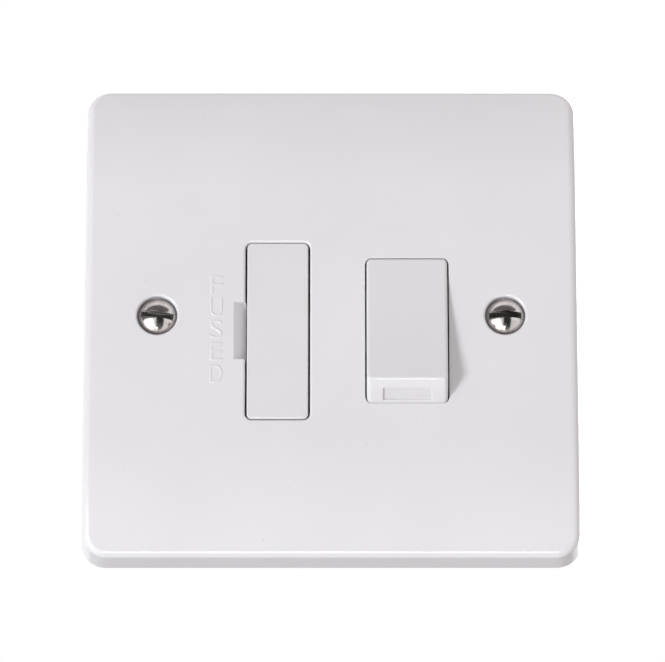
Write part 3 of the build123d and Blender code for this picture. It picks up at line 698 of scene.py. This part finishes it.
@contextmanager
def editing(piece):
    """Edit mode on one piece, with everything in it selected."""
    select_only(piece)
    bpy.ops.object.mode_set(mode="EDIT")
    bpy.ops.mesh.select_all(action="SELECT")
    yield
    bpy.ops.object.mode_set(mode="OBJECT")


def pick_vertices(piece, test):
    """In edit mode, leaves selected the vertices that pass a test of their place."""
    shape = bmesh.from_edit_mesh(piece.data)
    bpy.ops.mesh.select_all(action="DESELECT")
    for vertex in shape.verts:
        vertex.select_set(test(vertex.co))
    shape.select_flush(True)
    bmesh.update_edit_mesh(piece.data)


def pick_sharp_edges(piece, test, angle):
    """In edit mode, leaves selected the sharp edges that pass a test of their two ends."""
    shape = bmesh.from_edit_mesh(piece.data)
    bpy.ops.mesh.select_all(action="DESELECT")
    bpy.ops.mesh.select_mode(type="EDGE")
    for edge in shape.edges:
        sharp = len(edge.link_faces) == 2 and edge.calc_face_angle(0) > angle
        edge.select_set(sharp and test(edge.verts[0].co) and test(edge.verts[1].co))
    bmesh.update_edit_mesh(piece.data)


def apply_modifier(piece, modifier):
    """Makes a modifier's result the piece's own mesh."""
    select_only(piece)
    bpy.ops.object.modifier_apply(modifier=modifier.name)


def apply_place(piece):
    """Moves a piece's place, turn and scale into its mesh, so that it sits at the origin."""
    select_only(piece)
    bpy.ops.object.transform_apply(location=True, rotation=True, scale=True)


def faced_outwards():
    """In edit mode, turns all faces of the piece outwards."""
    bpy.ops.mesh.select_all(action="SELECT")
    bpy.ops.mesh.normals_make_consistent(inside=False)


def copied(node, name):
    """A merged copy of a CAD node's mesh, with its flat faces whole again."""
    piece = bpy.data.objects.new(name, frame["nodes"][node].data.copy())
    bpy.context.scene.collection.objects.link(piece)
    select_only(piece)
    bpy.ops.mesh.customdata_custom_splitnormals_clear()
    with editing(piece):
        bpy.ops.mesh.remove_doubles(threshold=MERGE)
        bpy.ops.mesh.dissolve_limited(angle_limit=FLAT_ANGLE)
    return piece


def eased(piece, width, test=lambda spot: True, angle=SHARP_ANGLE, segments=3):
    """Rounds the sharp edges that pass a test of their place."""
    with editing(piece):
        pick_sharp_edges(piece, test, angle)
        bpy.ops.mesh.bevel(offset=width, segments=segments, affect="EDGES", clamp_overlap=False)


def smoothed(piece):
    """Smooth shading in which the flat faces stay flat."""
    select_only(piece)
    bpy.ops.object.shade_smooth_by_angle(angle=SMOOTH_ANGLE)
    weighted = piece.modifiers.new("weighted", "WEIGHTED_NORMAL")
    weighted.keep_sharp = True
    apply_modifier(piece, weighted)


def placed(piece, body, slot, material, *nodes):
    """Gives a finished piece its material, the body it rides on and the nodes it stands for."""
    piece.data.materials.clear()
    piece.data.materials.append(finish(material))
    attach(piece, body)
    if nodes:
        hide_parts(*nodes)


def dressed(material, *nodes):
    """Gives CAD nodes that stay as they are a better material."""
    for node in nodes:
        for slot in frame["nodes"][node].material_slots:
            slot.material = finish(material)


def joined(name, *pieces):
    """One piece out of several, under a new name."""
    select_only(*pieces)
    bpy.ops.object.join()
    whole = bpy.context.object
    whole.name = name
    whole.data.name = name
    return whole


def turned(stations, sides):
    """A round piece about the depth axis: a disc drawn out by rows of radius and depth."""
    bpy.ops.object.select_all(action="DESELECT")
    radius, depth = stations[0]
    bpy.ops.mesh.primitive_circle_add(
        vertices=sides,
        radius=radius,
        fill_type="NGON",
        location=(0, depth, 0),
        rotation=(QUARTER_TURN, 0, 0),
    )
    piece = bpy.context.object
    apply_place(piece)
    with editing(piece):
        for wider, deeper in stations[1:]:
            move = {"value": (0, deeper - depth, 0)}
            bpy.ops.mesh.extrude_region_move(TRANSFORM_OT_translate=move)
            scale = wider / radius
            bpy.ops.transform.resize(value=(scale, 1, scale), center_override=(0, deeper, 0))
            radius, depth = wider, deeper
        faced_outwards()
    return piece


def slotted(piece, front, rear):
    """Cuts a screwdriver slot across the end of a turned piece."""
    bpy.ops.object.select_all(action="DESELECT")
    bpy.ops.mesh.primitive_cube_add(
        size=1,
        location=(0, (front + rear) / 2, 0),
        scale=(SLOT_LENGTH, rear - front, SLOT_WIDTH),
    )
    cutter = bpy.context.object
    cut = piece.modifiers.new("slot", "BOOLEAN")
    cut.operation = "DIFFERENCE"
    cut.solver = "EXACT"
    cut.object = cutter
    apply_modifier(piece, cut)
    bpy.data.objects.remove(cutter)


def repeated(piece, places):
    """Copies of a piece at the origin, each with its own mesh, turned and moved across and up."""
    copies = []
    for x, z, turn in places:
        select_only(piece)
        bpy.ops.object.duplicate()
        copies.append(bpy.context.object)
        with editing(copies[-1]):
            bpy.ops.transform.rotate(value=turn, orient_axis="Y", center_override=(0, 0, 0))
            bpy.ops.transform.translate(value=(x, 0, z))
    bpy.data.objects.remove(piece)
    return copies


def thread(radius, depth, pitch, start, end):
    """A helical ridge: a small four-sided section carried round a shank by a Screw modifier."""
    bpy.ops.object.select_all(action="DESELECT")
    bpy.ops.mesh.primitive_plane_add(size=1, location=(0, start, 0))
    ridge = bpy.context.object
    root = radius - depth
    tall, wide = (1 + RIDGE_FOOT) * depth, RIDGE_BASE * pitch
    with editing(ridge):
        bpy.ops.mesh.delete(type="ONLY_FACE")
        bpy.ops.mesh.select_all(action="SELECT")
        bpy.ops.transform.resize(value=(tall, wide, 1), center_override=(0, start, 0))
        bpy.ops.transform.translate(value=(radius - tall / 2, wide / 2, 0))
        pick_vertices(ridge, lambda spot: spot.x > root + depth / 2)
        middle = (radius, start + wide / 2, 0)
        bpy.ops.transform.resize(value=(1, RIDGE_CREST, 1), center_override=middle)
    winding = ridge.modifiers.new("winding", "SCREW")
    winding.axis = "Y"
    winding.screw_offset = pitch
    winding.iterations = int((end - start) / pitch - SPARE_TURNS)
    winding.steps = RIDGE_STEPS
    winding.render_steps = RIDGE_STEPS
    winding.use_normal_calculate = True
    apply_modifier(ridge, winding)
    apply_place(ridge)
    with editing(ridge):
        bpy.ops.mesh.fill_holes(sides=8)
        faced_outwards()
    return ridge


def raised_text(text, x, z, face, outward, relief, thin, height, width=None):
    """Raised text on a face, where outward is -1 on the front and 1 on the rear."""
    bpy.ops.object.select_all(action="DESELECT")
    bpy.ops.object.text_add()
    letter = bpy.context.object.data
    letter.body = text
    letter.resolution_u = 8
    letter.extrude = LETTER_SIDE
    letter.bevel_depth = LETTER_ROUNDING
    letter.bevel_resolution = 3
    letter.offset = -thin
    bpy.ops.object.convert(target="MESH")
    piece = bpy.context.object
    low = Vector([min(v.co[i] for v in piece.data.vertices) for i in range(3)])
    high = Vector([max(v.co[i] for v in piece.data.vertices) for i in range(3)])
    span = high - low
    tall = height / span.y
    wide = width / span.x if width else tall
    size = (wide, tall, 2 * relief / span.z)
    with editing(piece):
        bpy.ops.mesh.remove_doubles(threshold=LETTER_MERGE)
        bpy.ops.transform.translate(value=-(low + high) / 2)
        bpy.ops.transform.resize(value=size, center_override=(0, 0, 0))
    piece.rotation_euler = (QUARTER_TURN, 0, HALF_TURN if outward > 0 else 0)
    piece.location = (x, face, z)
    apply_place(piece)
    return piece


def on_notch_floor(spot, across):
    """Whether a vertex is on the prise notch's floor, at one place across."""
    return abs(spot.x - across) < NOTCH_PLAY and abs(spot.y - NOTCH_FLOOR) < NOTCH_PLAY


def on_rear_edge(spot):
    """Whether a vertex is on the outer edge of the plate's rim, at the wall."""
    return spot.y > -RIM_PLAY and max(abs(spot.x), abs(spot.z)) > RIM_OUTER


class SPUR_OT_front_plate(Operator):
    """Front plate: the CAD moulding with leaning sides, a sloping notch and eased openings"""

    bl_idname = "spur.front_plate"
    bl_label = "Front plate"

    def execute(self, context):
        sizes = context.scene.spur_sizes
        plate = copied("front_plate", "plate_moulding")
        lean = 1 + sizes.side_draft / PLATE_HALF
        ends = (NOTCH_LEFT, NOTCH_RIGHT)
        ramp = (
            (NOTCH_LEFT, (0, -sizes.notch_rise, 0)),
            ((NOTCH_LEFT + NOTCH_RIGHT) / 2, (0, -NOTCH_MIDDLE_SHARE * sizes.notch_rise, 0)),
            (NOTCH_RIGHT, (sizes.notch_reach, sizes.notch_fall, 0)),
        )
        with editing(plate):
            pick_vertices(plate, on_rear_edge)
            bpy.ops.transform.resize(value=(lean, 1, 1), center_override=(0, 0, 0))
            pick_vertices(plate, lambda spot: any(on_notch_floor(spot, end) for end in ends))
            bpy.ops.mesh.subdivide(number_cuts=1)
            for across, shift in ramp:
                pick_vertices(plate, lambda spot: on_notch_floor(spot, across))
                bpy.ops.transform.translate(value=shift)
        eased(plate, sizes.face_ease, lambda spot: abs(spot.y - FACE_Y) < FACE_PLAY)
        with editing(plate):
            bpy.ops.mesh.remove_doubles(threshold=MERGE)
            bpy.ops.mesh.dissolve_degenerate(threshold=MERGE)
        smoothed(plate)
        placed(plate, "unit", "face_white", "glazed_white", "front_plate")
        return {"FINISHED"}


class SPUR_OT_legend(Operator):
    """Raised legend beside the fuse carrier, one letter under the other"""

    bl_idname = "spur.legend"
    bl_label = "Raised legend"

    def execute(self, context):
        sizes = context.scene.spur_sizes
        letters = []
        for row, letter in enumerate("FUSED"):
            letters.append(
                raised_text(
                    letter,
                    x=sizes.legend_x,
                    z=sizes.legend_top - sizes.letter_height / 2 - row * sizes.letter_step,
                    face=FACE_Y,
                    outward=-1,
                    relief=sizes.letter_relief,
                    thin=LEGEND_THIN,
                    height=sizes.letter_height,
                    width=sizes.letter_width,
                )
            )
        legend = joined("raised_legend", *letters)
        smoothed(legend)
        placed(legend, "unit", "face_white", "glazed_white")
        return {"FINISHED"}


class SPUR_OT_fixing_screws(Operator):
    """Two slotted screws with raised nickel heads and cut threads"""

    bl_idname = "spur.fixing_screws"
    bl_label = "Fixing screws"

    def execute(self, context):
        sizes = context.scene.spur_sizes
        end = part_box("fixing_screws")[1].y
        root = THREAD_RADIUS - sizes.thread_depth
        rings = []
        for share in DOME_SHARES:
            radius = share * HEAD_RADIUS
            rise = math.sqrt(HEAD_DOME**2 - radius**2)
            rings.append((radius, HEAD_CROWN + HEAD_DOME - rise))
        rings += [(HEAD_RADIUS + out * MM, HEAD_EDGE + back * MM) for out, back in HEAD_RIM]
        rings += [
            (NECK_RADIUS, HEAD_EDGE + NECK_DEPTH),
            (SHANK_RADIUS, SHANK_END),
            (root, THREAD_START),
            (root, end - POINT_LENGTH),
            (root - POINT_TAPER, end),
        ]
        screw = turned(rings, sizes.turned_sides)
        slotted(screw, HEAD_CROWN - SLOT_OVER, HEAD_CROWN + SLOT_DEPTH)
        eased(screw, sizes.slot_ease, lambda spot: spot.y < HEAD_EDGE + HEAD_BAND, CUT_ANGLE, 2)
        ridge = thread(
            THREAD_RADIUS,
            sizes.thread_depth,
            sizes.thread_pitch,
            THREAD_START,
            end - THREAD_RUNOUT,
        )
        threaded = joined("threaded_screw", screw, ridge)
        screws = repeated(threaded, ((-SCREW_X, 0, HEAD_TURN), (SCREW_X, 0, 0.0)))
        pair = joined("fixing_screw_pair", *screws)
        smoothed(pair)
        placed(pair, "unit", "nickel", "bright_nickel", "fixing_screws")
        return {"FINISHED"}


class SPUR_OT_fuse_carrier(Operator):
    """Fuse carrier with eased edges"""

    bl_idname = "spur.fuse_carrier"
    bl_label = "Fuse carrier"

    def execute(self, context):
        carrier = copied("fuse_carrier", "carrier_moulding")
        eased(carrier, context.scene.spur_sizes.carrier_ease)
        smoothed(carrier)
        placed(carrier, "carrier", "face_white", "carrier_white", "fuse_carrier")
        return {"FINISHED"}


class SPUR_OT_fuse(Operator):
    """Cartridge fuse in the carrier: its tube and two drawn caps"""

    bl_idname = "spur.fuse"
    bl_label = "Fuse"

    def execute(self, context):
        dressed("fired_ceramic", "fuse_tube")
        for node in ("fuse_cap_upper", "fuse_cap_lower"):
            cap = copied(node, f"{node}_drawn")
            eased(cap, context.scene.spur_sizes.cap_ease)
            smoothed(cap)
            placed(cap, "carrier", "plated_cap", "plated_cap", node)
        return {"FINISHED"}


class SPUR_OT_rocker(Operator):
    """Rocker of the switch with eased edges"""

    bl_idname = "spur.rocker"
    bl_label = "Rocker"

    def execute(self, context):
        rocker = copied("rocker", "rocker_moulding")
        eased(rocker, context.scene.spur_sizes.rocker_ease)
        smoothed(rocker)
        placed(rocker, "rocker", "face_white", "rocker_white", "rocker")
        return {"FINISHED"}


class SPUR_OT_plungers(Operator):
    """Plungers and springs in the rocker"""

    bl_idname = "spur.plungers"
    bl_label = "Plungers and springs"

    def execute(self, context):
        dressed("natural_nylon", "plunger_live", "plunger_neutral")
        dressed("spring_steel", "plunger_spring_live", "plunger_spring_neutral")
        return {"FINISHED"}


class SPUR_OT_rear_housing(Operator):
    """Rear housing with eased edges"""

    bl_idname = "spur.rear_housing"
    bl_label = "Rear housing"

    def execute(self, context):
        housing = copied("rear_housing", "housing_moulding")
        ease = context.scene.spur_sizes.housing_ease
        eased(housing, ease, lambda spot: spot.y > HOUSING_SEAT)
        smoothed(housing)
        placed(housing, "unit", "housing_white", "satin_white", "rear_housing")
        return {"FINISHED"}


class SPUR_OT_terminal_marks(Operator):
    """Raised letters beside the terminals, and the word for each side between them"""

    bl_idname = "spur.terminal_marks"
    bl_label = "Terminal marks"

    def execute(self, context):
        sizes = context.scene.spur_sizes
        places = {}
        for name in TERMINALS:
            low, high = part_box(f"terminal_{name}")
            inward = -1 if low.z > LEVEL else 1
            edge = low.z if inward < 0 else high.z
            up = edge + inward * (MARK_GAP + sizes.mark_height / 2)
            places[name] = ((low.x + high.x) / 2, up)
        texts = []
        for name, (x, z) in places.items():
            line = name.split("_")[1]
            texts.append((line[0].upper(), x, z, sizes.mark_height))
        for word, left, right in WORDS:
            x = (places[left][0] + places[right][0]) / 2
            texts.append((word, x, places[left][1], sizes.word_height))
        marks = []
        for text, x, z, height in texts:
            marks.append(
                raised_text(
                    text,
                    x=x,
                    z=z,
                    face=REAR_Y,
                    outward=1,
                    relief=sizes.mark_relief,
                    thin=MARK_THIN,
                    height=height,
                )
            )
        letters = joined("terminal_marks", *marks)
        smoothed(letters)
        placed(letters, "unit", "housing_white", "satin_white")
        return {"FINISHED"}


class SPUR_OT_terminals(Operator):
    """Six brass terminal blocks with broken edges"""

    bl_idname = "spur.terminals"
    bl_label = "Terminals"

    def execute(self, context):
        for name in TERMINALS:
            block = copied(f"terminal_{name}", f"block_{name}")
            eased(block, context.scene.spur_sizes.terminal_ease)
            smoothed(block)
            placed(block, "unit", "brass", "plain_brass", f"terminal_{name}")
        return {"FINISHED"}


class SPUR_OT_terminal_screws(Operator):
    """Six slotted clamp screws in the terminals"""

    bl_idname = "spur.terminal_screws"
    bl_label = "Terminal screws"

    def execute(self, context):
        sizes = context.scene.spur_sizes
        low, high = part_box("terminal_screws")
        under = high.y - CLAMP_HEIGHT
        rings = [(CLAMP_HEAD + out * MM, high.y + over * MM) for out, over in CLAMP_CROWN]
        rings += [
            (CLAMP_HEAD, under + CLAMP_BREAK),
            (CLAMP_HEAD - CLAMP_BREAK, under),
            (CLAMP_SHANK, under - CLAMP_SHOULDER),
            (CLAMP_SHANK, low.y + CLAMP_POINT),
            (CLAMP_SHANK - CLAMP_POINT, low.y),
        ]
        screw = turned(rings, sizes.turned_sides)
        slotted(screw, high.y - SLOT_DEPTH, high.y + 2 * SLOT_OVER)
        eased(screw, sizes.clamp_ease, lambda spot: spot.y > under + CLAMP_BAND, CUT_ANGLE, 2)
        places = []
        for name, degrees in zip(TERMINALS, CLAMP_TURNS):
            block_low, block_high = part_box(f"terminal_{name}")
            middle = (block_low + block_high) / 2
            places.append((middle.x, middle.z, math.radians(degrees)))
        group = joined("clamp_screws", *repeated(screw, places))
        smoothed(group)
        placed(group, "unit", "zinc_steel", "zinc_plate", "terminal_screws")
        return {"FINISHED"}


class SPUR_OT_assembly_screws(Operator):
    """Two zinc screws that hold the housing to the plate"""

    bl_idname = "spur.assembly_screws"
    bl_label = "Assembly screws"

    def execute(self, context):
        screws = copied("assembly_screws", "assembly_screw_pair")
        eased(screws, context.scene.spur_sizes.assembly_ease)
        smoothed(screws)
        placed(screws, "unit", "zinc_steel", "zinc_plate", "assembly_screws")
        return {"FINISHED"}


class SPUR_OT_contacts(Operator):
    """Strips, clips and contacts inside the housing"""

    bl_idname = "spur.contacts"
    bl_label = "Contacts"

    def execute(self, context):
        dressed("plain_brass", "supply_strip_live", "supply_strip_neutral", "fulcrum_strip_live")
        dressed("plain_brass", "fulcrum_strip_neutral", "load_strip_live", "earth_strap")
        dressed("plain_brass", "fuse_clip_upper", "fuse_clip_lower")
        dressed("plain_brass", "moving_contact_live", "moving_contact_neutral")
        dressed("contact_silver", "moving_tip_live", "moving_tip_neutral", "fixed_tips")
        return {"FINISHED"}


def softbox(name, toward, distance, side, power, colour, shine=True):
    """A square light in a direction from the unit, turned to it, which gloss may show or not."""
    spot = Vector(toward).normalized() * distance
    bpy.ops.object.select_all(action="DESELECT")
    bpy.ops.object.light_add(type="AREA", location=spot)
    lamp = bpy.context.object
    lamp.name = name
    lamp.rotation_euler = (-spot).to_track_quat("-Z", "Y").to_euler()
    lamp.data.shape = "SQUARE"
    lamp.data.size = side
    lamp.data.energy = power
    lamp.data.color = colour
    lamp.visible_camera = False
    lamp.visible_glossy = shine


def card(name, toward, distance, width, height, level):
    """A plain card, dark or bright, that only reflections see."""
    spot = Vector(toward).normalized() * distance
    bpy.ops.object.select_all(action="DESELECT")
    bpy.ops.mesh.primitive_plane_add(size=1, location=spot)
    board = bpy.context.object
    board.name = name
    board.rotation_euler = spot.to_track_quat("Z", "Y").to_euler()
    board.scale = (width, height, 1)
    board.visible_camera = False
    board.visible_diffuse = False
    board.visible_shadow = False
    material = bpy.data.materials.new(name)
    recipe = Recipe(material)
    recipe.shown(recipe.node("ShaderNodeEmission", {}, {"Color": WHITE, "Strength": level}))
    board.data.materials.append(material)


def paper_floor(side, drop):
    """A pale paper floor under the unit, which shows as plain paper and still takes light."""
    bpy.ops.object.select_all(action="DESELECT")
    bpy.ops.mesh.primitive_plane_add(size=side, location=(0, 0, -drop))
    floor = bpy.context.object
    floor.name = "studio_floor"
    paper = bpy.data.materials.new("floor_paper")
    recipe = Recipe(paper)
    fibre = recipe.noise(recipe.place(), size=PAPER_FIBRE, detail=3.0)
    tone = recipe.blend(fibre, PAPER_GREY, PAPER_WHITE)
    cloth = recipe.node("ShaderNodeBsdfDiffuse", {}, {"Color": tone})
    lit = recipe.node("ShaderNodeEmission", {}, {"Color": tone, "Strength": 1.0})
    recipe.shown(recipe.node("ShaderNodeMixShader", {}, {0: recipe.seen(), 1: cloth, 2: lit}))
    floor.data.materials.append(paper)


def studio_air(level):
    """A world that lights the unit evenly and shows as white."""
    world = bpy.data.worlds.new("studio_air")
    recipe = Recipe(world)
    air = recipe.node("ShaderNodeBackground", {}, {"Color": AIR_TINT, "Strength": level})
    white = recipe.node("ShaderNodeBackground", {}, {"Color": WHITE, "Strength": 1.0})
    mixed = recipe.node("ShaderNodeMixShader", {}, {0: recipe.seen(), 1: air, 2: white})
    recipe.node("ShaderNodeOutputWorld", {}, {"Surface": mixed})
    return world


class SPUR_OT_studio(Operator):
    """Camera, floor, soft lights and white surroundings"""

    bl_idname = "spur.studio"
    bl_label = "Studio"

    def execute(self, context):
        studio = context.scene.spur_studio
        rise = studio.elevation
        back = Vector((0, -math.cos(rise), math.sin(rise)))
        bpy.ops.object.select_all(action="DESELECT")
        bpy.ops.object.camera_add(location=Vector(studio.aim) + back * studio.distance)
        camera = context.object
        camera.rotation_euler = (-back).to_track_quat("-Z", "Y").to_euler()
        camera.data.sensor_width = SENSOR_WIDTH
        camera.data.lens = studio.lens
        camera.data.clip_start = CLIP_NEAR
        camera.data.clip_end = CLIP_FAR
        context.scene.camera = camera

        paper_floor(FLOOR_SIDE, studio.floor_drop)
        softbox(
            "key_softbox",
            toward=(-0.66, -0.67, -0.33),
            distance=2.0,
            side=0.5,
            power=studio.key_power,
            colour=(0.955, 0.995, 1.0),
        )
        softbox(
            "fill_softbox",
            toward=(0.75, -0.62, -0.25),
            distance=1.6,
            side=0.9,
            power=studio.fill_power,
            colour=(1.0, 0.97, 0.96),
            shine=False,
        )
        softbox(
            "rear_softbox",
            toward=(0.45, 0.75, 0.5),
            distance=1.2,
            side=0.9,
            power=studio.rear_power,
            colour=(1.0, 1.0, 1.0),
        )
        for row in CARDS:
            card(*row)
        context.scene.world = studio_air(studio.air_level)
        context.scene.view_settings.view_transform = "Standard"
        return {"FINISHED"}


STEPS = (
    SPUR_OT_front_plate,
    SPUR_OT_legend,
    SPUR_OT_fixing_screws,
    SPUR_OT_fuse_carrier,
    SPUR_OT_fuse,
    SPUR_OT_rocker,
    SPUR_OT_plungers,
    SPUR_OT_rear_housing,
    SPUR_OT_terminal_marks,
    SPUR_OT_terminals,
    SPUR_OT_terminal_screws,
    SPUR_OT_assembly_screws,
    SPUR_OT_contacts,
    SPUR_OT_studio,
)


class SPUR_PT_pieces(Panel):
    """Lists the unit's pieces and its studio"""

    bl_idname = "SPUR_PT_pieces"
    bl_label = "Fused spur unit"
    bl_space_type = "VIEW_3D"
    bl_region_type = "UI"
    bl_category = "Spur unit"

    def draw(self, context):
        scene = context.scene
        for step in STEPS:
            self.layout.operator(step.bl_idname)
        for group in (scene.spur_sizes, scene.spur_finish, scene.spur_studio):
            box = self.layout.box()
            for name in group.__annotations__:
                box.prop(group, name)


CLASSES = (SpurSizes, SpurFinish, SpurStudio, *STEPS, SPUR_PT_pieces)


def register():
    for made in CLASSES:
        bpy.utils.register_class(made)
    bpy.types.Scene.spur_sizes = PointerProperty(type=SpurSizes)
    bpy.types.Scene.spur_finish = PointerProperty(type=SpurFinish)
    bpy.types.Scene.spur_studio = PointerProperty(type=SpurStudio)


def unregister():
    del bpy.types.Scene.spur_studio
    del bpy.types.Scene.spur_finish
    del bpy.types.Scene.spur_sizes
    for made in reversed(CLASSES):
        bpy.utils.unregister_class(made)


def main():
    register()
    for step in STEPS:
        group, name = step.bl_idname.split(".")
        getattr(getattr(bpy.ops, group), name)()


if __name__ == "__main__":
    main()
